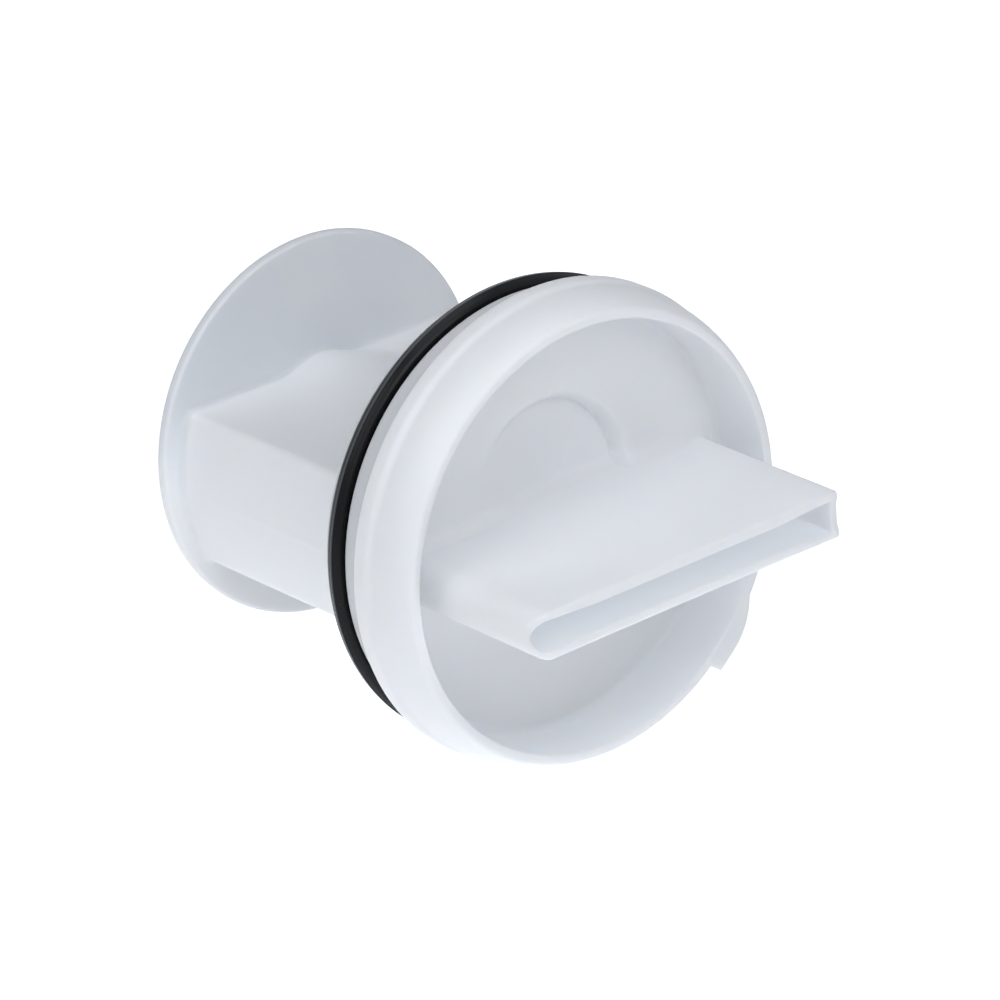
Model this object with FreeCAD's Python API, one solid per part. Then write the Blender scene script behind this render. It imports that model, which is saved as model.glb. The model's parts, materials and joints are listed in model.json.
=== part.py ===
import FreeCAD, Part
import math
import os

# Washer pump filter, in millimetres. Its axis runs along Y: the handle points to -Y, the rear disc is
# at +Y and Z is up. The origin is on the axis, in the rear face of the collar.

# Cap: cup, rim, collar and the lands beside the ring groove
rim_radius = 30.0          # outer edge of the flat front rim
rim_wall = 1.25            # width of that flat rim
band_rise = 1.6            # band behind the rim stands this much outside it
band_length = 6.75         # front rim to collar
band_straight = 0.2        # straight end of the band at the collar; the rest bows in to the rim
collar_rise = 0.45         # collar stands this much outside the band
collar_width = 2.55
cup_depth = 8.85
cup_draft = 0.35           # the cup is this much smaller in radius at its floor
cup_fillet = 0.8           # rounding between the cup's wall and floor
land_drop = 2.15           # lands behind the collar lie this much inside it
land_width = 4.4           # collar to ring groove
rear_land_width = 1.0      # ring groove to the rear of the cap
rear_land_drop = 0.5       # the rear land lies this much inside the front one
skirt_wall = 1.8           # under the ring groove, around the hollow in the cap's rear
floor_wall = 2.0           # from the finger recess to that hollow

# Lug on the rim, lower right seen from the front; angles from +X, anticlockwise
lug_foot_angle = -34.0     # where its ramp leaves the rim
lug_ramp_angle = -45.5     # where the ramp reaches full height
lug_end_angle = -53.1      # top of the blunt end
lug_end_slant = 1.5        # the blunt end's foot lies this many degrees further on
lug_height = 1.93          # above the rim's outer edge
lug_ramp_bulge = 0.4       # the ramp bows out this much at its middle
lug_draft = 0.25           # the lug is this much lower at the collar

# Rubber ring and its groove
ring_cord = 3.0
groove_depth = 1.95
groove_play = 0.2          # on each side of the ring
ring_seat_gap = 0.05       # between the ring and the groove's floor

# Handle: a hollow blade on the cup floor
handle_reach = 17.9        # in front of the rim
handle_thickness = 6.5
handle_end_gap = 3.3       # from each end to the cup's bore
handle_left_edge = 2.0     # rounding of the left end's long edges
handle_right_edge = 0.4    # rounding of the right end's long edges
handle_front_corner = 3.2  # rounding of the left front corner, seen from above
handle_lip_round = 0.8     # rounding of the front edges above and below
handle_wall = 1.15
handle_left_wall = 0.6
pocket_stop = 4.6          # the pocket ends this far in front of the cup floor
end_wall_setback = 0.3     # the right end wall stops short of the lips
root_fillet = 2.2          # between the handle and the floor

# Finger recess in the cup floor, above the handle
recess_radius = 12.8
recess_centre_rise = 0.35  # centre of the arch above the handle's top
recess_depth = 2.4
recess_inner_round = 1.0
recess_mouth_round = 0.4

# Trough between cap and disc, open below
trough_length = 37.7       # the part of it that stands behind the cap
trough_wall = 2.0
plate_height = 8.75        # top plate above the axis
trough_drop = 12.9         # lower edge below the axis
parting_drop = 1.8         # the side walls are widest this far below the axis
side_radius = 27.5         # bow of the side walls
top_edge_round = 0.7
low_edge_round = 1.5

# Ridge on the top plate: narrow at the disc, spread to full width at the trough's root
ridge_rise_at_disc = 1.6
ridge_rise_at_root = 4.1
ridge_half_at_disc = 6.5
ridge_side_margin = 0.6    # from the ridge's foot to the wall's top edge at the root
ridge_flare_power = 2.6
ridge_stations = (0.0, 0.14, 0.32, 0.6, 1.0)
ridge_points = 8           # spline points on each half of the ridge

# Rear disc
disc_step = 3.6            # disc edge inside the lands, so that it passes the same mouth
disc_thickness = 1.7
disc_overhang = 2.8        # disc edge outside the trough's side walls
disc_edge_round = 0.5

joint_overlap = 0.6        # how far one moulded form runs into the next before they are fused
edge_search = 0.5          # how near to its height a long edge of the trough is looked for

# Stations and radii that follow from these
bore_radius = rim_radius - rim_wall
floor_radius = bore_radius - cup_draft
band_radius = rim_radius + band_rise
collar_radius = band_radius + collar_rise
land_radius = collar_radius - land_drop
rear_land_radius = land_radius - rear_land_drop
groove_radius = land_radius - groove_depth
groove_width = ring_cord + 2 * groove_play
collar_front = -collar_width
rim_front = collar_front - band_length
cup_floor = rim_front + cup_depth
groove_front = land_width
groove_rear = groove_front + groove_width
cap_rear = groove_rear + rear_land_width
disc_front = cap_rear + trough_length
recess_floor = cup_floor + recess_depth
hollow_floor = recess_floor + floor_wall
hollow_radius = groove_radius - skirt_wall
handle_front = rim_front - handle_reach
handle_half = bore_radius - handle_end_gap
handle_top = handle_thickness / 2
recess_centre = handle_top + recess_centre_rise
disc_radius = land_radius - disc_step
trough_half = disc_radius - disc_overhang


def vec(x, y, z):
    return FreeCAD.Vector(x, y, z)


def line(a, b):
    return Part.makeLine(a, b)


def polyline(points):
    return [line(a, b) for a, b in zip(points, points[1:])]


def arc(a, middle, b):
    return Part.Arc(a, middle, b).toShape()


def corner_arc(start, centre, end):
    """Round corner from start to end about centre, through the point midway between them."""
    radius = (start - centre).Length
    toward = (start + end) * 0.5 - centre
    return arc(start, centre + toward * (radius / toward.Length), end)


def face(edges):
    return Part.Face(Part.Wire(edges))


def turned(edges):
    """Solid of a closed outline in the XY plane, turned about the Y axis."""
    return face(edges).revolve(vec(0, 0, 0), vec(0, 1, 0), 360)


def polar(radius, angle, y):
    return vec(radius * math.cos(math.radians(angle)), y, radius * math.sin(math.radians(angle)))


def make_cup():
    """Cap turned from its section: rim, bowed band, collar, lands, groove, rear hollow and cup."""
    bow_length = band_length - band_straight
    bow_radius = (bow_length ** 2 + band_rise ** 2) / (2 * band_rise)
    bow_end = vec(band_radius, rim_front + bow_length, 0)
    bow_centre = bow_end - vec(bow_radius, 0, 0)
    rim_edge = vec(rim_radius, rim_front, 0)
    fillet_centre = vec(floor_radius - cup_fillet, cup_floor - cup_fillet, 0)
    fillet_top = fillet_centre + vec(cup_fillet, 0, 0)
    fillet_end = fillet_centre + vec(0, cup_fillet, 0)
    outside = polyline([
        bow_end,
        vec(band_radius, collar_front, 0),
        vec(collar_radius, collar_front, 0),
        vec(collar_radius, 0, 0),
        vec(land_radius, 0, 0),
        vec(land_radius, groove_front, 0),
        vec(groove_radius, groove_front, 0),
        vec(groove_radius, groove_rear, 0),
        vec(rear_land_radius, groove_rear, 0),
        vec(rear_land_radius, cap_rear, 0),
        vec(hollow_radius, cap_rear, 0),
        vec(hollow_radius, hollow_floor, 0),
        vec(0, hollow_floor, 0),
        vec(0, cup_floor, 0),
        fillet_end,
    ])
    inside = [
        corner_arc(fillet_end, fillet_centre, fillet_top),
        line(fillet_top, vec(bore_radius, rim_front, 0)),
        line(vec(bore_radius, rim_front, 0), rim_edge),
        corner_arc(rim_edge, bow_centre, bow_end),
    ]
    return turned(outside + inside)


def lug_outline(y, top_radius):
    """Closed outline of the rim lug across the axis: bowed ramp, round crest and blunt slanted end."""
    root_radius = rim_radius - rim_wall / 2
    root_angle = lug_end_angle - lug_end_slant
    foot_root = polar(root_radius, lug_foot_angle, y)
    foot = polar(rim_radius, lug_foot_angle, y)
    ramp_middle_radius = (rim_radius + top_radius) / 2 + lug_ramp_bulge
    ramp_middle = polar(ramp_middle_radius, (lug_foot_angle + lug_ramp_angle) / 2, y)
    ramp_top = polar(top_radius, lug_ramp_angle, y)
    crest = polar(top_radius, (lug_ramp_angle + lug_end_angle) / 2, y)
    end_top = polar(top_radius, lug_end_angle, y)
    end_root = polar(root_radius, root_angle, y)
    root = polar(root_radius, (lug_foot_angle + root_angle) / 2, y)
    return Part.Wire([
        line(foot_root, foot),
        arc(foot, ramp_middle, ramp_top),
        arc(ramp_top, crest, end_top),
        line(end_top, end_root),
        arc(end_root, root, foot_root),
    ])


def make_lug():
    """Rim lug, ruled from its front outline back to a lower one that is sunk in the collar."""
    top_radius = rim_radius + lug_height
    front = lug_outline(rim_front, top_radius)
    rear = lug_outline(collar_front + joint_overlap, top_radius - lug_draft)
    return Part.makeLoft([front, rear], True, True)


def handle_section(y):
    """Outline of the blade across its length: left end with large roundings, right end nearly square."""
    left, right, top = -handle_half, handle_half, handle_top
    big, small = handle_left_edge, handle_right_edge
    a = vec(left + big, y, top)
    b = vec(right - small, y, top)
    c = vec(right, y, top - small)
    d = vec(right, y, small - top)
    e = vec(right - small, y, -top)
    f = vec(left + big, y, -top)
    g = vec(left, y, big - top)
    h = vec(left, y, top - big)
    return face([
        line(a, b),
        corner_arc(b, vec(right - small, y, top - small), c),
        line(c, d),
        corner_arc(d, vec(right - small, y, small - top), e),
        line(e, f),
        corner_arc(f, vec(left + big, y, big - top), g),
        line(g, h),
        corner_arc(h, vec(left + big, y, top - big), a),
    ])


def handle_plan(root):
    """Prism of the blade seen from above, with its left front corner rounded."""
    left, right, z = -handle_half, handle_half, -handle_top
    round_x = vec(left + handle_front_corner, handle_front, z)
    round_y = vec(left, handle_front + handle_front_corner, z)
    centre = vec(left + handle_front_corner, handle_front + handle_front_corner, z)
    outline = polyline([
        round_y,
        vec(left, root, z),
        vec(right, root, z),
        vec(right, handle_front, z),
        round_x,
    ])
    outline.append(corner_arc(round_x, centre, round_y))
    return face(outline).extrude(vec(0, 0, handle_thickness))


def handle_side(root):
    """Prism of the blade seen from its end, with its two front edges rounded."""
    x, top, lip = -handle_half, handle_top, handle_lip_round
    round_y = handle_front + lip
    upper, lower = vec(x, round_y, top), vec(x, round_y, -top)
    front_upper, front_lower = vec(x, handle_front, top - lip), vec(x, handle_front, lip - top)
    outline = polyline([lower, vec(x, root, -top), vec(x, root, top), upper])
    outline.append(corner_arc(upper, vec(x, round_y, top - lip), front_upper))
    outline.append(line(front_upper, front_lower))
    outline.append(corner_arc(front_lower, vec(x, round_y, lip - top), lower))
    return face(outline).extrude(vec(2 * handle_half, 0, 0))


def make_handle():
    """Solid blade, from its front edge to a root sunk in the floor behind the finger recess."""
    root = recess_floor + joint_overlap
    blade = handle_section(handle_front).extrude(vec(0, root - handle_front, 0))
    return blade.common(handle_plan(root)).common(handle_side(root))


def make_pocket():
    """Slot that hollows the blade from the front: round at the left, square at the right."""
    half = handle_top - handle_wall
    left = -handle_half + handle_left_wall + half
    right = handle_half - handle_wall
    y = handle_front
    upper, lower = vec(left, y, half), vec(left, y, -half)
    outline = polyline([upper, vec(right, y, half), vec(right, y, -half), lower])
    outline.append(arc(lower, vec(left - half, y, 0), upper))
    slot = face(outline).extrude(vec(0, cup_floor - pocket_stop - handle_front, 0))
    past_wall = handle_wall + joint_overlap
    setback = Part.makeBox(past_wall, end_wall_setback, 2 * half, vec(right, y, -half))
    return slot.fuse(setback)


def make_root_fillet(floor, side, half_width):
    """Concave fillet along the blade's root on a floor plane; side is +1 above the blade, -1 below."""
    top = side * handle_top
    inner = vec(-half_width, floor + joint_overlap, top - side * handle_wall)
    on_blade = vec(-half_width, floor - root_fillet, top)
    on_floor = vec(-half_width, floor, top + side * root_fillet)
    centre = vec(-half_width, floor - root_fillet, top + side * root_fillet)
    blade_foot = vec(-half_width, floor - root_fillet, top - side * handle_wall)
    floor_foot = vec(-half_width, floor + joint_overlap, top + side * root_fillet)
    outline = polyline([on_floor, floor_foot, inner, blade_foot, on_blade])
    outline.append(corner_arc(on_blade, centre, on_floor))
    return face(outline).extrude(vec(2 * half_width, 0, 0))


def recess_outline(z, side):
    """Half section of the finger recess at height z, from its middle out to the rounded mouth."""
    inner, mouth = recess_inner_round, recess_mouth_round
    wall = recess_radius
    low = vec(side * (wall - inner), recess_floor, z)
    low_centre = vec(side * (wall - inner), recess_floor - inner, z)
    low_wall = vec(side * wall, recess_floor - inner, z)
    mouth_wall = vec(side * wall, cup_floor + mouth, z)
    mouth_centre = vec(side * (wall + mouth), cup_floor + mouth, z)
    lip = vec(side * (wall + mouth), cup_floor, z)
    above = cup_floor - joint_overlap
    return [
        line(vec(0, recess_floor, z), low),
        corner_arc(low, low_centre, low_wall),
        line(low_wall, mouth_wall),
        corner_arc(mouth_wall, mouth_centre, lip),
        line(lip, vec(side * (wall + mouth), above, z)),
        line(vec(side * (wall + mouth), above, z), vec(0, above, z)),
        line(vec(0, above, z), vec(0, recess_floor, z)),
    ]


def make_recess():
    """Cutter for the finger recess: a half turn for the arch, and straight sides down to the blade."""
    z = recess_centre
    arch = face(recess_outline(z, 1)).revolve(vec(0, 0, z), vec(0, -1, 0), 180)
    cutter = arch
    for side in (1, -1):
        straight = face(recess_outline(handle_top, side)).extrude(vec(0, 0, z - handle_top))
        cutter = cutter.fuse(straight)
    return cutter


def side_wall_x(z, inset):
    """Half width of the trough at height z: side walls bowed about the parting height."""
    radius = side_radius - inset
    return trough_half - side_radius + math.sqrt(radius ** 2 - (z + parting_drop) ** 2)


def ridge_curve(station, inset, y):
    """Top edge of the trough's section: flat plate with a cosine-squared ridge on its middle."""
    spread = 1 - (1 - station) ** ridge_flare_power
    half_at_root = side_wall_x(plate_height, 0) - ridge_side_margin
    half = ridge_half_at_disc + (half_at_root - ridge_half_at_disc) * spread
    rise = ridge_rise_at_disc + (ridge_rise_at_root - ridge_rise_at_disc) * station
    plate = plate_height - inset
    edge = side_wall_x(plate, inset)
    steps = [k / ridge_points for k in range(-ridge_points, ridge_points + 1)]
    points = [vec(edge * s, y, plate + ridge_height(edge * s / half, rise)) for s in steps]
    curve = Part.BSplineCurve()
    curve.interpolate(points)
    return curve.toShape(), points[0], points[-1]


def ridge_height(share, rise):
    """Height at a share of the ridge's half width: cosine squared, nothing beyond its foot."""
    if abs(share) >= 1:
        return 0.0
    return rise * math.cos(math.pi * share / 2) ** 2


def trough_section(station, inset, low, y):
    """Closed section of the trough's outside (inset 0) or of its cavity (inset by the wall)."""
    top, top_left, top_right = ridge_curve(station, inset, y)
    low_x = side_wall_x(low, inset)
    middle_z = (top_left.z + low) / 2
    middle_x = side_wall_x(middle_z, inset)
    low_left, low_right = vec(-low_x, y, low), vec(low_x, y, low)
    return Part.Wire([
        top,
        arc(top_right, vec(middle_x, y, middle_z), low_right),
        line(low_right, low_left),
        arc(low_left, vec(-middle_x, y, middle_z), top_left),
    ])


def trough_loft(inset, low, overlap):
    """Loft through the ridge stations, from the disc to the root, running past both by the overlap."""
    start = disc_front + overlap
    length = start - hollow_floor + overlap
    wires = [trough_section(t, inset, low, start - t * length) for t in ridge_stations]
    return Part.makeLoft(wires, True)


def long_edges(shape, height):
    """Edges that run the trough's length near a height."""
    found = []
    for edge in shape.Edges:
        box = edge.BoundBox
        if box.YLength > trough_length / 2 and abs(edge.CenterOfMass.z - height) < edge_search:
            found.append(edge)
    return found


def make_trough():
    """Trough shell: bowed side walls, ridged top plate and rounded long edges, hollowed from below."""
    outside = trough_loft(0, -trough_drop, joint_overlap)
    outside = outside.makeFillet(top_edge_round, long_edges(outside, plate_height))
    outside = outside.makeFillet(low_edge_round, long_edges(outside, -trough_drop))
    cavity = trough_loft(trough_wall, -trough_drop - joint_overlap, 0)
    return outside.cut(cavity)


def make_disc():
    """Rear disc, its two edges slightly rounded."""
    disc = Part.makeCylinder(disc_radius, disc_thickness, vec(0, disc_front, 0), vec(0, 1, 0))
    rims = [edge for edge in disc.Edges if edge.Closed]
    return disc.makeFillet(disc_edge_round, rims)


def make_body():
    """The whole moulding: cap, lug, handle, recess, trough and disc in one solid."""
    straight_root = handle_half - max(handle_left_edge, handle_right_edge)
    body = make_cup().fuse([make_lug(), make_handle()])
    for side in (1, -1):
        body = body.fuse(make_root_fillet(cup_floor, side, straight_root))
    body = body.cut(make_recess())
    body = body.fuse(make_root_fillet(recess_floor, 1, recess_radius - recess_inner_round))
    body = body.cut(make_pocket())
    body = body.fuse([make_trough(), make_disc()])
    return body.removeSplitter()


def make_ring():
    """Round rubber cord seated on the groove's floor, midway along the groove."""
    cord_radius = ring_cord / 2
    centre_radius = groove_radius + ring_seat_gap + cord_radius
    centre = vec(0, (groove_front + groove_rear) / 2, 0)
    return Part.makeTorus(centre_radius, cord_radius, centre, vec(0, 1, 0))


os.makedirs("parts", exist_ok=True)
for node, shape in (("filter_body", make_body()), ("sealing_ring", make_ring())):
    shape.exportStep("parts/" + node + ".step")
    print(node, shape.isValid(), len(shape.Solids), "solids, mm3:", round(shape.Volume), shape.BoundBox)
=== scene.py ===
import json
import bpy
import numpy as np
from mathutils import Matrix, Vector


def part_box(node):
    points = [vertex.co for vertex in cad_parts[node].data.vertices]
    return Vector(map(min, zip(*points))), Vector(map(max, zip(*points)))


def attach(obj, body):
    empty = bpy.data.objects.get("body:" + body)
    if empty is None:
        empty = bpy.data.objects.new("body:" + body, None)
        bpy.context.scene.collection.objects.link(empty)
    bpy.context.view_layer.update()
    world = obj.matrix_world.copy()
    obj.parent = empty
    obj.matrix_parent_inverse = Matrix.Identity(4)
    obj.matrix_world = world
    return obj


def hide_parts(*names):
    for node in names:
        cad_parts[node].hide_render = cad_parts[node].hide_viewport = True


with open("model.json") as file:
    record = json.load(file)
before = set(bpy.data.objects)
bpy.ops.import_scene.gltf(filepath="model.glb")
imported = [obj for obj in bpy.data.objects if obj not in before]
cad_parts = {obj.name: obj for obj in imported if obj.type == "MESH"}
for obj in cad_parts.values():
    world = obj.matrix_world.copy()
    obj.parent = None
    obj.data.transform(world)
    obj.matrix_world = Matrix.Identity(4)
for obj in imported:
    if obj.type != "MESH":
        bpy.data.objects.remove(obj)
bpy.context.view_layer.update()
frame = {"record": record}

# Washer pump filter: one moulding in natural polypropylene, and a black rubber sealing ring.
# Sizes are in millimetres in the part's frame: the axis runs along Y, the handle points to -Y, Z is up.
MM = 0.001


def mm_box(node):
    """Lowest and highest corner of a solid, in millimetres."""
    low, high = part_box(node)
    return np.array(low) / MM, np.array(high) / MM


def mount(name):
    """Row of the record for one mount."""
    return next(m for m in frame["record"]["mounts"] if m["name"] == name)


body_low, body_high = mm_box("filter_body")
ring_low, ring_high = mm_box("sealing_ring")

# Cap
collar_radius = mount("housing_collar")["dims"]["r_mm"]
collar_width = mount("housing_collar")["dims"]["length_mm"]
band_radius = collar_radius - 0.45
rim_radius = band_radius - 1.6
bore_radius = rim_radius - 1.25
floor_radius = bore_radius - 0.35
land_radius = collar_radius - 2.15
rear_land_radius = land_radius - 0.5
groove_radius = land_radius - 1.95
hollow_radius = groove_radius - 1.8
collar_front = -collar_width
collar_step = 0.4          # half length of the slanted step from the band to the collar
rim_front = collar_front - 6.75
cup_floor = rim_front + 8.85
groove_front = 4.4
groove_rear = groove_front + 3.4
cap_rear = groove_rear + 1.0
recess_depth = 2.4
hollow_floor = cup_floor + recess_depth + 2.0
cup_fillet = 0.8
band_straight = 0.7        # the rest of the band bows in to the rim
lug_angles = (-34.0, -45.5, -53.1, -54.2)   # foot of the ramp, its top, the blunt end and its foot
lug_height = 1.93
lug_bulge = 0.4            # the ramp bows out this much at its middle
lug_draft = 0.25           # the lug is this much lower at the collar

# Handle
handle_front = body_low[1]
handle_half = bore_radius - 3.3
handle_top = 3.25
handle_left_edge = 3.0     # rounding of the left end's edges, and of the right end's
handle_right_edge = 0.4
handle_wall = 1.4
handle_left_wall = 0.6
front_corner = 3.2         # left front corner seen from above
pocket_floor = cup_floor - 4.6
end_wall_setback = 0.3     # the right end wall stands behind the lips by this much
setback_blend = 0.3        # lengths over which the setback comes in, at the wall and at the lips
lip_blend = (0.2, 0.5)
lip_round = 0.8            # outer edges of the lips
inner_lip_round = 0.2
slot_right_round = 0.2
slot_widening = (14.0, 9.0, 0.2)   # the slot widens from this x on, over this length, by this share
root_fillet = 2.2
root_fillet_at_ends = 0.4
root_fade = 3.5            # length over which the fillet runs out at each end of the handle

# Finger recess
recess_radius = 12.8
recess_centre = handle_top + 0.35
recess_mouth = 0.7         # the soft edge reaches this far outside the arch
recess_inner = 0.6         # and this far inside it
recess_run = 18.0          # the recess deepens from nothing at its left over this length

# Trough, ridge and disc
disc_radius = land_radius - 3.6
disc_rear = body_high[1]
disc_front = disc_rear - 1.7
disc_edge = 0.5
trough_half = disc_radius - 2.8
trough_wall = 2.0
plate_height = 8.75
trough_low = -12.9
parting_height = -1.8      # the side walls are widest here
side_radius = 27.5
top_edge = 0.7
low_edge = 1.5
inner_edge = 0.8
lip_edge = 0.25
ridge_rise = (1.6, 4.1)    # at the disc and at the root
ridge_half_at_disc = 6.5
ridge_side_margin = 0.6
ridge_flare_power = 2.6
end_fillet = 0.8           # where the trough meets the disc and the cap
parting_line = (0.06, 0.3, -1.4)   # rise, half width and place of the fine line the mould leaves on the walls
overlap = 0.6              # how far one moulded form runs into the next
floor_gap = 0.01           # keeps the web's face off the cap's own floor, so that the two can be joined

# Rubber ring
ring_cord = ring_high[1] - ring_low[1]
ring_radius = ring_high[2] - ring_cord / 2
ring_middle = (ring_low[1] + ring_high[1]) / 2
flash_line = (0.1, 0.25, -10.0)   # height and half width of the mould's flash, and its angle on the cord


# Curves and surfaces

def smooth(t):
    """Smooth step 3tt - 2ttt, with t held between 0 and 1."""
    t = np.clip(t, 0.0, 1.0)
    return t * t * (3.0 - 2.0 * t)


def quarter_round(start, corner, end, steps):
    """Conic from start to end whose tangents meet at the corner: a circle's quarter for a square corner."""
    t = np.linspace(0.0, 1.0, steps)[:, None]
    from_start, from_corner, from_end = (1 - t) ** 2, np.sqrt(2.0) * t * (1 - t), t ** 2
    total = from_start + from_corner + from_end
    return (from_start * start + from_corner * corner + from_end * end) / total


def rounded_outline(corners, steps=6):
    """Outline through corners given as radius, y and rounding; a rounding replaces its corner by a conic."""
    place = np.array([c[:2] for c in corners], float)
    pieces = [place[:1]]
    for before, here, after, corner in zip(place, place[1:], place[2:], corners[1:]):
        to_start = (before - here) / np.linalg.norm(before - here)
        to_end = (after - here) / np.linalg.norm(after - here)
        if corner[2] > 0:
            start, end = here + corner[2] * to_start, here + corner[2] * to_end
            pieces.append(quarter_round(start, here, end, steps))
        else:
            pieces.append(here[None])
    pieces.append(place[-1:])
    return np.concatenate(pieces)


def turned(outline, angles, radius=None):
    """Surface of revolution about Y: the outline's radius and y carried round the angles, one row an angle.
    A radius given for each row and point takes the place of the outline's."""
    r = np.broadcast_to(outline[:, 0] if radius is None else radius, (len(angles), len(outline)))
    y = np.broadcast_to(outline[:, 1], r.shape)
    turn = np.radians(angles)[:, None]
    return np.stack([r * np.cos(turn), y, r * np.sin(turn)], axis=-1)


def closed_mesh(name, rows, ring=False):
    """Mesh over a grid of closed loops, in millimetres. The rows join into a ring, or both ends are capped.
    The faces are turned outwards by the sign of the volume that they enclose."""
    n, m = rows.shape[:2]
    index = np.arange(n * m).reshape(n, m)
    if ring:
        index = np.concatenate([index, index[:1]])
    ahead = np.roll(index, -1, axis=1)
    quads = np.stack([index[:-1], index[1:], ahead[1:], ahead[:-1]], axis=-1).reshape(-1, 4)
    points = rows.reshape(-1, 3) * MM
    a, b, c, d = (points[quads[:, k]] for k in range(4))
    volume = np.einsum("ij,ij->", a, np.cross(b, c)) + np.einsum("ij,ij->", a, np.cross(c, d))
    caps = [] if ring else [index[0], index[-1][::-1]]
    for cap in caps:
        centre = np.broadcast_to(points[cap].mean(axis=0), (m, 3))
        volume += np.einsum("ij,ij->", centre, np.cross(points[cap], points[np.roll(cap, -1)]))
    faces = quads.tolist() + [cap.tolist() for cap in caps]
    if volume < 0:
        faces = [face[::-1] for face in faces]
    mesh = bpy.data.meshes.new(name)
    mesh.from_pydata(points.tolist(), [], faces)
    mesh.validate()
    made = bpy.data.objects.new(name, mesh)
    bpy.context.scene.collection.objects.link(made)
    return made


# Filter body

def lug_radius(angles, height):
    """Outer radius of the lug by angle: the rim's, then a ramp bowed as a parabola, a level top and a blunt
    end."""
    foot, top, end, end_foot = lug_angles
    up = np.clip((foot - angles) / (foot - top), 0.0, 1.0)
    down = np.clip((angles - end_foot) / (end - end_foot), 0.0, 1.0)
    return rim_radius + np.minimum(height * up + 4 * lug_bulge * up * (1 - up), height * down)


def make_cap():
    """Turned ring of the cap: the outline of wall, rim, bowed band, collar, lands, groove and skirt carried
    round. The band's bow is a circle. Between rim and collar the radius is the larger of the outline's and
    the lug's."""
    bow_length = collar_front - band_straight - rim_front
    bow_radius = (bow_length ** 2 + (band_radius - rim_radius) ** 2) / (2 * (band_radius - rim_radius))
    along = np.linspace(0.0, bow_length, 14)
    bow = [(band_radius - bow_radius + np.sqrt(bow_radius ** 2 - (bow_length - s) ** 2), rim_front + s, 0)
           for s in along[1:]]
    outline = rounded_outline([
        (hollow_radius, cup_floor, 0),
        (floor_radius, cup_floor, cup_fillet),
        (bore_radius, rim_front, 0.3),
        (rim_radius, rim_front, 0.35),
        *bow,
        (band_radius, collar_front - collar_step, 0.3),
        (collar_radius, collar_front + collar_step, 0.3),
        (collar_radius, 0.0, 0.2),
        (land_radius, 0.0, 0.15),
        (land_radius, groove_front, 0.2),
        (groove_radius, groove_front, 0.3),
        (groove_radius, groove_rear, 0.3),
        (rear_land_radius, groove_rear, 0.2),
        (rear_land_radius, cap_rear, 0.3),
        (hollow_radius, cap_rear, 0.3),
        (hollow_radius, cup_floor + overlap, 0),
    ])
    all_round, on_ramp = np.arange(-180.0, 180.0, 1.0), np.arange(-46.0, -33.0, 0.5)
    angles = np.unique(np.concatenate([all_round, on_ramp, lug_angles]))
    outer = (outline[:, 1] < collar_front - 0.01) & (outline[:, 0] > rim_radius - 0.4)
    inside_rim = np.minimum(outline[:, 0] - rim_radius, 0.0)
    behind = np.clip((outline[:, 1] - rim_front) / (collar_front - rim_front), 0.0, 1.0)
    lug = lug_radius(angles[:, None], lug_height - lug_draft * behind) + inside_rim
    radius = np.where(outer, np.maximum(outline[:, 0], lug), outline[:, 0])
    return closed_mesh("cap", turned(outline, angles, radius), ring=True)


def floor_height(x, z):
    """Height y of the cup's floor: level, less the finger recess, which deepens as a smooth step of x and as
    the square of the distance inside its arch, plus a fillet of circular section along the handle that runs
    out at the handle's ends."""
    arch = np.where(z > recess_centre, np.hypot(x, z - recess_centre), np.abs(x))
    inside = np.clip((recess_radius - arch + recess_mouth) / (recess_mouth + recess_inner), 0.0, 1.0)
    depth = recess_depth * smooth((x + recess_radius) / recess_run)
    level = cup_floor + floor_gap + depth * inside ** 2 * (z > 0)
    fade = smooth((np.abs(x) - handle_half + root_fade + root_fillet_at_ends) / root_fade)
    fillet = root_fillet + (root_fillet_at_ends - root_fillet) * fade
    beside = np.clip(np.abs(z) - handle_top, 0.0, fillet)
    rise = fillet - np.sqrt(fillet ** 2 - (fillet - beside) ** 2)
    return level - rise * (np.abs(x) < handle_half)


def make_floor():
    """Web between cup and hollow: loops at constant z, each the floor's height going one way and a level line
    back. Rows are close where the fillet is steep and over the recess."""
    radius = hollow_radius + overlap
    outermost = radius - 0.02
    under_handle = np.linspace(0.0, handle_top, 3)
    fillet_rows = handle_top + root_fillet * (1 - np.sin(np.linspace(0.0, np.pi / 2, 12)))
    recess_rows = np.linspace(handle_top + root_fillet + 0.3, 18.0, 44)
    upper = np.concatenate([under_handle, fillet_rows, recess_rows, np.linspace(18.6, outermost, 12)])
    lower = np.concatenate([under_handle, fillet_rows, np.linspace(6.0, outermost, 24)])
    z = np.unique(np.round(np.concatenate([upper, -lower]), 4))[:, None]
    x = np.sqrt(radius ** 2 - z ** 2) * np.linspace(-1.0, 1.0, 141)
    z = np.broadcast_to(z, x.shape)
    front = np.stack([x, floor_height(x, z), z], axis=-1)
    back = np.stack([x, np.full_like(x, hollow_floor), z], axis=-1)[:, ::20]
    return closed_mesh("floor", np.concatenate([front, back[:, ::-1]], axis=1))


def rounded_slot(left, right, half, left_round, right_round):
    """Loop in x and z: a rectangle whose left corners have one rounding and whose right corners another."""
    l, r, h, p, q = left, right, half, left_round, right_round
    corner = [(np.array(a), np.array(c), np.array(b), n) for a, c, b, n in (
        ((r - q, h), (r, h), (r, h - q), 7),
        ((r, q - h), (r, -h), (r - q, -h), 7),
        ((l + p, -h), (l, -h), (l, p - h), 13),
        ((l, h - p), (l, h), (l + p, h), 13),
    )]
    sides = (12, 48, 8, 48)    # points on the straight side after each corner, its ends counted
    pieces = []
    for k, (a, c, b, n) in enumerate(corner):
        pieces.append(quarter_round(a, c, b, n))
        pieces.append(np.linspace(b, corner[(k + 1) % 4][0], sides[k])[1:-1])
    return np.concatenate(pieces)


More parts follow.
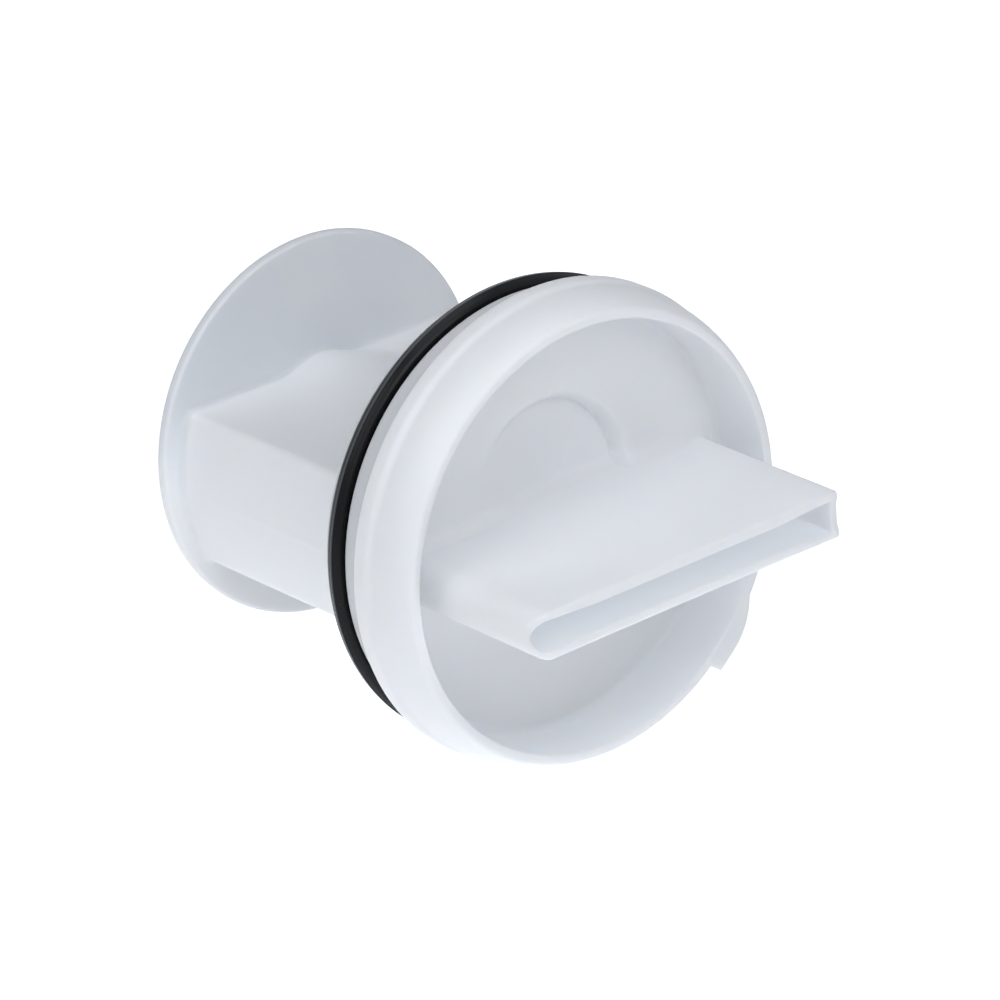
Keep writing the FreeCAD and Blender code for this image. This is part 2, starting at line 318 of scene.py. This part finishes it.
def handle_front_at(x, z):
    """Where the handle ends in front: a level edge, a circular corner at the left, and the right end wall set
    back between the lips by smooth steps."""
    into_corner = np.clip(-handle_half + front_corner - x, 0.0, front_corner)
    corner = front_corner - np.sqrt(front_corner ** 2 - into_corner ** 2)
    at_wall = smooth((x - handle_half + handle_wall + setback_blend) / setback_blend)
    between_lips = smooth((handle_top - handle_wall + lip_blend[0] - np.abs(z)) / lip_blend[1])
    return handle_front + corner + end_wall_setback * at_wall * between_lips


def make_handle():
    """Hollow blade: its loop carried from the root to the front, over the rounded lip and back to the pocket.
    The lip's section is a quarter circle outside, a level stretch and a smaller quarter circle inside."""
    slot_half = handle_top - handle_wall
    slot_left, slot_right = -handle_half + handle_left_wall, handle_half - handle_wall
    outside = rounded_slot(-handle_half, handle_half, handle_top, handle_left_edge, handle_right_edge)
    inside = rounded_slot(slot_left, slot_right, slot_half, slot_half, slot_right_round)
    from_x, over, share = slot_widening
    inside[:, 1] *= 1 + share * smooth((np.abs(inside[:, 0]) - from_x) / over)
    wall = np.linalg.norm(inside - outside, axis=1, keepdims=True)

    def row(loop, y):
        return np.stack([loop[:, 0], np.broadcast_to(y, len(loop)), loop[:, 1]], axis=-1)

    def edge(depth_in, back):
        """The loop at a distance inside the outer one, this far behind the front."""
        loop = outside + (inside - outside) * np.clip(depth_in / wall, 0.0, 1.0)
        return row(loop, handle_front_at(loop[:, 0], loop[:, 1]) + back[:, 0])

    def in_between(start, end, shares):
        """Rows at these shares of the way from one row to another."""
        return start + (end - start) * np.array(shares)[:, None, None]

    turn = np.radians(np.linspace(0.0, 90.0, 7))
    widest = 0.45 * wall       # the two roundings leave a level stretch between them
    outer_round, inner_round = np.minimum(lip_round, widest), np.minimum(inner_lip_round, widest)
    outer_lip = [edge(outer_round * (1 - np.cos(t)), outer_round * (1 - np.sin(t))) for t in turn]
    inner_lip = [edge(wall - inner_round * (1 - np.sin(t)), inner_round * (1 - np.cos(t))) for t in turn]
    root = row(outside, cup_floor + recess_depth + overlap)
    blade = in_between(root, outer_lip[0], [0.0, 0.3, 0.55, 0.75, 0.9, 0.97])
    pocket = in_between(inner_lip[-1], row(inside, pocket_floor - 0.6), [0.04, 0.3, 0.7, 1.0])
    centre = np.array([[(handle_left_wall - handle_wall) / 2, 0.0]])
    rounded_floor = ((0.004, 0.06, 0.25), (0.014, 0.2, 0.04), (0.024, 0.3, 0.0))   # shares in, height over it
    bottom = np.stack([row(inside + (centre - inside) * np.array([share_x, share_z]), pocket_floor - over_it)
                       for share_x, share_z, over_it in rounded_floor])
    rows = [blade, np.stack(outer_lip), np.stack(inner_lip), pocket, bottom]
    return closed_mesh("handle", np.concatenate(rows))


def wall_x(z, inset):
    """Half width of the trough at a height: walls bowed to a circle about the parting height."""
    return trough_half - side_radius + np.sqrt((side_radius - inset) ** 2 - (z - parting_height) ** 2)


def ridge(x, station):
    """Height of the ridge over the plate: cosine squared of x over a half width that flares to the cap."""
    half_at_root = wall_x(plate_height, 0.0) - ridge_side_margin
    flare = 1 - (1 - station) ** ridge_flare_power
    half = ridge_half_at_disc + (half_at_root - ridge_half_at_disc) * flare
    rise = ridge_rise[0] + (ridge_rise[1] - ridge_rise[0]) * station
    return rise * np.cos(np.pi / 2 * np.clip(x / half, -1.0, 1.0)) ** 2


def trough_half_loop(station):
    """Right half of the trough's section at each station, from the middle of the top, down the wall, round
    its lower lip and up the inside to the middle of the cavity's top. The parting line is a bell curve of
    the height, and rows are close there."""
    def top(x, inset):
        return np.stack([np.broadcast_to(x, (len(station), len(x))),
                         plate_height - inset + ridge(x, station[:, None])], axis=-1)

    def wall(z, inset):
        line = np.stack([wall_x(z, inset), z], axis=-1)
        return np.broadcast_to(line, (len(station), *line.shape))

    def corner(a, c, b, steps=7):
        return quarter_round(a[:, None], c[:, None], b[:, None], steps)

    edge, inner_top = wall_x(plate_height, 0.0), plate_height - trough_wall
    inner = wall_x(inner_top, trough_wall)
    outer_low, inner_low = wall_x(trough_low, 0.0), wall_x(trough_low, trough_wall)
    over = top(np.linspace(0.0, edge - top_edge, 33), 0.0)
    heights = np.concatenate([np.linspace(plate_height - top_edge, 0.0, 12)[:-1],
                              np.linspace(0.0, -3.0, 16)[:-1],
                              np.linspace(-3.0, trough_low + low_edge, 10)])
    line_rise, line_half, line_place = parting_line
    line = line_rise * np.exp(-((heights - line_place) / line_half) ** 2)
    outside = wall(heights, 0.0) + np.stack([line, 0 * heights], axis=-1)
    inside = wall(np.linspace(trough_low + lip_edge, inner_top - inner_edge, 16), trough_wall)
    under = top(np.linspace(inner - inner_edge, 0.0, 33), trough_wall)
    flat = np.array([[outer_low, trough_low], [outer_low - low_edge, trough_low],
                     [inner_low + lip_edge, trough_low], [inner_low, trough_low]])
    flat = np.broadcast_to(flat, (len(station), 4, 2))
    return np.concatenate([
        over[:, :-1],
        corner(over[:, -1], top(np.array([edge]), 0.0)[:, 0], outside[:, 0]),
        outside[:, 1:-1],
        corner(outside[:, -1], flat[:, 0], flat[:, 1]),
        corner(flat[:, 2], flat[:, 3], inside[:, 0], 5),
        inside[:, 1:-1],
        corner(inside[:, -1], top(np.array([inner]), trough_wall)[:, 0], under[:, 0]),
        under[:, 1:],
    ], axis=1)


def make_trough():
    """Trough: its section, mirrored about the middle, carried from inside the disc to inside the cap.
    Next to both ends the section grows along its normal by a circular fillet."""
    near = end_fillet * (1 - np.cos(np.linspace(0.0, np.pi / 2, 7)))
    run = disc_front - hollow_floor
    reach = np.concatenate([[-overlap], near, np.linspace(end_fillet, run - end_fillet, 44)[1:-1],
                            (run - near)[::-1], [run + overlap]])
    half = trough_half_loop(np.clip(reach / run, 0.0, 1.0))
    mirrored = half[:, ::-1] * np.array([-1.0, 1.0])
    loop = np.concatenate([half, mirrored[:, 1:-1]], axis=1)
    along = np.roll(loop, -1, axis=1) - np.roll(loop, 1, axis=1)
    normal = np.stack([-along[..., 1], along[..., 0]], axis=-1)
    normal /= np.linalg.norm(normal, axis=-1, keepdims=True)
    to_end = np.clip(np.minimum(reach, run - reach), 0.0, end_fillet)
    grow = end_fillet - np.sqrt(end_fillet ** 2 - (end_fillet - to_end) ** 2)
    loop = loop + normal * grow[:, None, None]
    y = np.broadcast_to((disc_front - reach)[:, None], loop.shape[:2])
    return closed_mesh("trough", np.stack([loop[..., 0], y, loop[..., 1]], axis=-1))


def make_disc():
    """Rear disc: a flat outline with two rounded edges, turned about the axis. A small flat face closes each
    side at the hub."""
    hub = 0.5
    outline = rounded_outline([
        (hub, disc_front, 0),
        (disc_radius, disc_front, disc_edge),
        (disc_radius, disc_rear, disc_edge),
        (hub, disc_rear, 0),
    ], 8)
    return closed_mesh("disc", turned(outline, np.arange(0.0, 360.0, 1.0)).transpose(1, 0, 2))


def joined(first, others, name):
    """One closed skin of several overlapping forms."""
    for other in others:
        join = first.modifiers.new("join", "BOOLEAN")
        join.operation = "UNION"
        join.solver = "EXACT"
        join.object = other
    graph = bpy.context.evaluated_depsgraph_get()
    mesh = bpy.data.meshes.new_from_object(first.evaluated_get(graph))
    mesh.name = name
    for made in [first, *others]:
        old = made.data
        bpy.data.objects.remove(made)
        bpy.data.meshes.remove(old)
    whole = bpy.data.objects.new(name, mesh)
    bpy.context.scene.collection.objects.link(whole)
    return whole


def soften(piece, sharp_angle):
    """Smooth shading, broken only at edges that turn by more than an angle; level faces keep their normal."""
    piece.data.shade_smooth()
    piece.data.set_sharp_from_angle(angle=np.radians(sharp_angle))
    even = piece.modifiers.new("even normals", "WEIGHTED_NORMAL")
    even.keep_sharp = True
    even.weight = 80


# Sealing ring

def make_ring():
    """Round cord carried round the axis: its section is a circle plus a low line of flash, a bell curve of
    the angle on the cord."""
    around = np.linspace(-180.0, 180.0, 144, endpoint=False)
    height, half_width, place = flash_line
    off = (around - place) / np.degrees(half_width / (ring_cord / 2))
    radius = ring_cord / 2 + height * np.exp(-off ** 2) - height
    outline = np.stack([ring_radius + radius * np.cos(np.radians(around)),
                        ring_middle + radius * np.sin(np.radians(around))], axis=-1)
    return closed_mesh("sealing_ring_cord", turned(outline, np.arange(0.0, 360.0, 1.0)), ring=True)


# Materials

def linear(hex_colour):
    """Linear RGBA of an sRGB hex colour."""
    s = np.array([int(hex_colour[k:k + 2], 16) for k in (1, 3, 5)]) / 255
    rgb = np.where(s <= 0.04045, s / 12.92, ((s + 0.055) / 1.055) ** 2.4)
    return (*rgb.tolist(), 1.0)


def add_node(material, kind, links=None, **settings):
    """Adds a node. Settings name a property or, written as in_NAME, an input socket; links give sockets, by
    name or number, their source."""
    node = material.node_tree.nodes.new(kind)
    for key, value in settings.items():
        if key.startswith("in_"):
            node.inputs[key[3:].replace("_", " ")].default_value = value
        else:
            setattr(node, key, value)
    for socket, source in (links or {}).items():
        material.node_tree.links.new(source, node.inputs[socket])
    return node


def new_material(name):
    """Empty node material."""
    material = bpy.data.materials.new(name)
    material.use_nodes = True
    material.node_tree.nodes.clear()
    return material


def combined(material, operation, first, second):
    """Product, larger or another join of two values."""
    return add_node(material, "ShaderNodeMath", {0: first, 1: second}, operation=operation).outputs["Value"]


def between(material, length, low, high, soft):
    """1 where a length lies between low and high millimetres, falling smoothly to 0 over the soft edges."""
    rise = add_node(material, "ShaderNodeMapRange", {"Value": length}, interpolation_type="SMOOTHSTEP",
                    in_From_Min=(low - soft) * MM, in_From_Max=low * MM)
    fall = add_node(material, "ShaderNodeMapRange", {"Value": length}, interpolation_type="SMOOTHSTEP",
                    in_From_Min=(high + soft) * MM, in_From_Max=high * MM)
    return combined(material, "MULTIPLY", rise.outputs["Result"], fall.outputs["Result"])


def from_axis(material, place):
    """Distance of a place from the part's axis."""
    across = add_node(material, "ShaderNodeSeparateXYZ", {"Vector": place})
    axis = add_node(material, "ShaderNodeCombineXYZ", {"Y": across.outputs["Y"]})
    return add_node(material, "ShaderNodeVectorMath", {0: place, 1: axis.outputs["Vector"]},
                    operation="DISTANCE").outputs["Value"]


def painted_slot_glow(material, place):
    """Share of painted glow in the handle's slot, an emission in place of light through its thin walls: none
    at the lips, and more with depth."""
    end_margin, slot_reach, full_depth, fade = 1.3, 2.3, 9.0, 8.5
    middle = -1.0              # below any distance, so that only the far side is cut off
    across = add_node(material, "ShaderNodeSeparateXYZ", {"Vector": place}).outputs
    x = add_node(material, "ShaderNodeMath", {0: across["X"]}, operation="ABSOLUTE").outputs["Value"]
    z = add_node(material, "ShaderNodeMath", {0: across["Z"]}, operation="ABSOLUTE").outputs["Value"]
    wide = between(material, x, middle, handle_half - end_margin, 0.2)
    high = between(material, z, middle, slot_reach, 0.1)
    deep = between(material, across["Y"], handle_front + full_depth, pocket_floor + 0.5, fade)
    return combined(material, "MULTIPLY", combined(material, "MULTIPLY", wide, high), deep)


def painted_shade(material, place):
    """Share of painted shade: full at the lands and the groove, for the shade beside the black ring and
    behind the collar, less on the thin disc, where it grows towards the disc's top."""
    disc_share, grey_from, grey_to, grey_fade = 0.7, 12.0, 30.0, 24.0
    across = add_node(material, "ShaderNodeSeparateXYZ", {"Vector": place}).outputs
    on_lands = between(material, from_axis(material, place), hollow_radius + 0.5, land_radius + 0.1, 0.1)
    behind_collar = between(material, across["Y"], 0.4, cap_rear, 0.3)
    land = combined(material, "MULTIPLY", on_lands, behind_collar)
    in_disc = between(material, across["Y"], disc_front - 0.3, disc_rear + 1.0, 1.0)
    up_disc = between(material, across["Z"], grey_from, grey_to, grey_fade)
    disc = combined(material, "MULTIPLY", in_disc, up_disc)
    faint = add_node(material, "ShaderNodeMapRange", {"Value": disc}, in_To_Max=disc_share)
    return combined(material, "MAXIMUM", land, faint.outputs["Result"])


def moulded_polypropylene():
    """Natural polypropylene, undyed and injection moulded: milky, lets light through its thin walls, with a
    satin skin, faint clouds of flow and a fine eroded texture. The real texture is finer than 0.1 mm and is
    drawn coarser here, so that it shows. Painted shade darkens the lands, the groove and the disc's top, and
    a faint painted glow lights the handle's slot."""
    material = new_material("moulded_natural_polypropylene")
    place = add_node(material, "ShaderNodeTexCoord").outputs["Object"]
    cloud_mm, grain_mm, grain_height_mm, scatter_mm = 14.0, 0.35, 0.05, 1.2
    clouds = add_node(material, "ShaderNodeTexNoise", {"Vector": place},
                      in_Scale=1 / (cloud_mm * MM), in_Detail=2.0)
    grain = add_node(material, "ShaderNodeTexNoise", {"Vector": place},
                     in_Scale=1 / (grain_mm * MM), in_Detail=3.0)
    colour = add_node(material, "ShaderNodeValToRGB", {"Fac": clouds.outputs["Fac"]})
    for stop, position, shade in zip(colour.color_ramp.elements, (0.35, 0.65), ("#F9FBFE", "#FDFEFF")):
        stop.position = position
        stop.color = linear(shade)
    satin = add_node(material, "ShaderNodeMapRange", {"Value": grain.outputs["Fac"]},
                     in_To_Min=0.36, in_To_Max=0.5)
    skin = add_node(material, "ShaderNodeBump", {"Height": grain.outputs["Fac"]},
                    in_Strength=0.05, in_Distance=grain_height_mm * MM)
    # painted shade: the colour is scaled down to 0.75 at the lands, the groove and the disc's top
    level = add_node(material, "ShaderNodeMapRange", {"Value": painted_shade(material, place)},
                     in_To_Min=1.0, in_To_Max=0.75)
    colour_with_painted_light = add_node(material, "ShaderNodeVectorMath", {
        0: colour.outputs["Color"],
        "Scale": level.outputs["Result"],
    }, operation="SCALE")
    # painted glow: the slot's faces emit a little pale light in place of light through the handle's thin
    # walls
    painted_glow = add_node(material, "ShaderNodeMapRange", {"Value": painted_slot_glow(material, place)}, in_To_Max=0.1)
    surface = add_node(material, "ShaderNodeBsdfPrincipled", {
        "Base Color": colour_with_painted_light.outputs["Vector"],
        "Emission Strength": painted_glow.outputs["Result"],
        "Roughness": satin.outputs["Result"],
        "Normal": skin.outputs["Normal"],
    }, in_IOR=1.49, in_Subsurface_Weight=1.0, in_Subsurface_Radius=(1.0, 1.05, 1.15),
        in_Subsurface_Scale=scatter_mm * MM, in_Emission_Color=linear("#F0F6FF"))
    add_node(material, "ShaderNodeOutputMaterial", {"Surface": surface.outputs["BSDF"]})
    return material


def nitrile_rubber():
    """Nitrile rubber, moulded: near black, satin, with a slight bloom that breaks up its shine. A painted
    highlight, a grey line, runs along the crest of the flash."""
    material = new_material("moulded_nitrile_rubber")
    place = add_node(material, "ShaderNodeTexCoord").outputs["Object"]
    bloom_mm, grain_mm, grain_height_mm = 4.0, 0.25, 0.04
    bloom = add_node(material, "ShaderNodeTexNoise", {"Vector": place},
                     in_Scale=1 / (bloom_mm * MM), in_Detail=4.0)
    grain = add_node(material, "ShaderNodeTexNoise", {"Vector": place},
                     in_Scale=1 / (grain_mm * MM), in_Detail=2.0)
    colour = add_node(material, "ShaderNodeValToRGB", {"Fac": bloom.outputs["Fac"]})
    for stop, shade in zip(colour.color_ramp.elements, ("#060607", "#0D0D0E")):
        stop.color = linear(shade)
    # painted highlight: a grey line along the crest of the flash, in place of a lamp's glint
    crest = ring_radius + ring_cord / 2 * np.cos(np.radians(flash_line[2]))
    painted_highlight = between(material, from_axis(material, place), crest - 0.03, crest + 1.0, 0.02)
    # a Mix node's sockets share their names, so its factor, colours and result go by number
    colour_with_painted_light = add_node(material, "ShaderNodeMix", {0: painted_highlight, 6: colour.outputs["Color"]}, data_type="RGBA")
    colour_with_painted_light.inputs[7].default_value = linear("#47494C")
    satin = add_node(material, "ShaderNodeMapRange", {"Value": bloom.outputs["Fac"]},
                     in_To_Min=0.2, in_To_Max=0.32)
    skin = add_node(material, "ShaderNodeBump", {"Height": grain.outputs["Fac"]},
                    in_Strength=0.1, in_Distance=grain_height_mm * MM)
    surface = add_node(material, "ShaderNodeBsdfPrincipled", {
        "Base Color": colour_with_painted_light.outputs[2],
        "Roughness": satin.outputs["Result"],
        "Normal": skin.outputs["Normal"],
    }, in_IOR=1.52, in_Specular_IOR_Level=0.14)
    add_node(material, "ShaderNodeOutputMaterial", {"Surface": surface.outputs["BSDF"]})
    return material


def dress(piece, material, node):
    """Gives a finished piece its material, and its solid's place in the part."""
    piece.data.materials.clear()
    piece.data.materials.append(material)
    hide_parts(node)
    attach(piece, "root")


body = joined(make_cap(), [make_floor(), make_handle(), make_trough(), make_disc()], "filter_moulding")
soften(body, 40.0)
ring = make_ring()
soften(ring, 60.0)
dress(body, moulded_polypropylene(), "filter_body")
dress(ring, nitrile_rubber(), "sealing_ring")


# Stage: the filter lies on its collar and its disc, so the floor slopes a little in the part's frame

cool_light = "#F5F9FF"
table_glow = 0.46          # what the light table gives the part; it shows as 1, white
surroundings = 0.04        # what the room gives the part; it shows as 1 too


def seen(material):
    """1 where the camera sees a surface, directly, in a reflection or through something clear."""
    ray = add_node(material, "ShaderNodeLightPath").outputs
    mirrored = combined(material, "MAXIMUM", ray["Is Glossy Ray"], ray["Is Transmission Ray"])
    return combined(material, "MAXIMUM", ray["Is Camera Ray"], mirrored)


def opal_acrylic():
    """Opal acrylic sheet of a light table: matt, pale and evenly lit from below."""
    material = new_material("opal_acrylic")
    level = add_node(material, "ShaderNodeMapRange", {"Value": seen(material)},
                     in_To_Min=table_glow, in_To_Max=1.0)
    sheet = add_node(material, "ShaderNodeBsdfDiffuse", in_Color=linear("#F2F2F2"))
    glow = add_node(material, "ShaderNodeEmission", {"Strength": level.outputs["Result"]},
                    in_Color=linear(cool_light))
    both = add_node(material, "ShaderNodeAddShader", {0: sheet.outputs["BSDF"], 1: glow.outputs["Emission"]})
    add_node(material, "ShaderNodeOutputMaterial", {"Surface": both.outputs["Shader"]})
    return material


def make_stage():
    """Wide light table: a plane through the lowest lines of collar and disc."""
    slope = np.arctan2(collar_radius - disc_radius, disc_rear)
    reach = 1500.0
    side = np.array([[-reach, -reach], [reach, -reach], [reach, reach], [-reach, reach]])
    across, along = side[:, 0], side[:, 1]
    height = -collar_radius / np.cos(slope) * np.ones(4) + along * np.sin(slope)
    points = np.stack([across, along * np.cos(slope), height], axis=-1)
    mesh = bpy.data.meshes.new("floor")
    mesh.from_pydata((points * MM).tolist(), [], [(0, 1, 2, 3)])
    mesh.materials.append(opal_acrylic())
    floor = bpy.data.objects.new("floor", mesh)
    bpy.context.scene.collection.objects.link(floor)


def make_world():
    """Dim surroundings that show as white."""
    world = bpy.data.worlds.new("studio")
    bpy.context.scene.world = world
    world.use_nodes = True
    world.node_tree.nodes.clear()
    level = add_node(world, "ShaderNodeMapRange", {"Value": seen(world)},
                     in_To_Min=surroundings, in_To_Max=1.0)
    sky = add_node(world, "ShaderNodeBackground", {"Strength": level.outputs["Result"]},
                   in_Color=linear("#F6FAFF"))
    add_node(world, "ShaderNodeOutputWorld", {"Surface": sky.outputs["Background"]})


def standing(right, up, back, place):
    """Matrix of a lamp or camera from its three directions and its place in millimetres."""
    turned_and_placed = np.column_stack([right, up, back, np.array(place) * MM])
    return Matrix(np.vstack([turned_and_placed, [0, 0, 0, 1]]).tolist())


def add_softbox(name, place, target, size, power):
    """Square soft lamp at a place, shining at a target; millimetres and watts."""
    back = np.array(place, float) - np.array(target, float)
    back /= np.linalg.norm(back)
    right = np.cross([0.0, 0.0, 1.0], back)
    right /= np.linalg.norm(right)
    lamp = bpy.data.lights.new(name, "AREA")
    lamp.shape = "SQUARE"
    lamp.size = size * MM
    lamp.color = linear(cool_light)[:3]
    lamp.energy = power
    stand = bpy.data.objects.new(name, lamp)
    stand.matrix_world = standing(right, np.cross(back, right), back, place)
    bpy.context.scene.collection.objects.link(stand)


def make_camera():
    """Camera solved from the picture's circles and edges: its azimuth, elevation and roll about a point of
    the axis."""
    azimuth, elevation, roll = np.radians([-38.106, 23.999, -4.496])
    focal_px, frame_px, distance = 6937.97, 1000.0, 900.0
    target = np.array([0.0, rim_front + 30.0, 0.0])
    shift_px = np.array([-53.62, -24.94])   # where the target lies from the picture's centre, right and down
    back = np.array([np.sin(azimuth) * np.cos(elevation), -np.cos(azimuth) * np.cos(elevation),
                     np.sin(elevation)])
    level = np.array([np.cos(azimuth), np.sin(azimuth), 0.0])
    upright = np.cross(back, level)
    right = np.cos(roll) * level + np.sin(roll) * upright
    up = np.cos(roll) * upright - np.sin(roll) * level
    mm_per_px = distance / focal_px
    place = target + back * distance - right * shift_px[0] * mm_per_px + up * shift_px[1] * mm_per_px
    lens = bpy.data.cameras.new("camera")
    lens.sensor_width = 36.0
    lens.lens = focal_px / frame_px * lens.sensor_width
    lens.clip_start = 0.01
    camera = bpy.data.objects.new("camera", lens)
    camera.matrix_world = standing(right, up, back, place)
    bpy.context.scene.collection.objects.link(camera)
    bpy.context.scene.camera = camera


make_stage()
make_world()
add_softbox("softbox_left", (-400.0, 10.0, 400.0), (0.0, 10.0, 0.0), 400.0, 1.05)
add_softbox("softbox_corner", (-250.0, -400.0, 290.0), (0.0, 10.0, 0.0), 400.0, 0.58)
add_softbox("softbox_front", (0.0, -220.0, 180.0), (0.0, -10.0, 0.0), 160.0, 0.185)
add_softbox("softbox_top", (10.0, -50.0, 250.0), (0.0, 0.0, 0.0), 160.0, 0.125)
make_camera()
bpy.context.scene.view_settings.view_transform = "Standard"
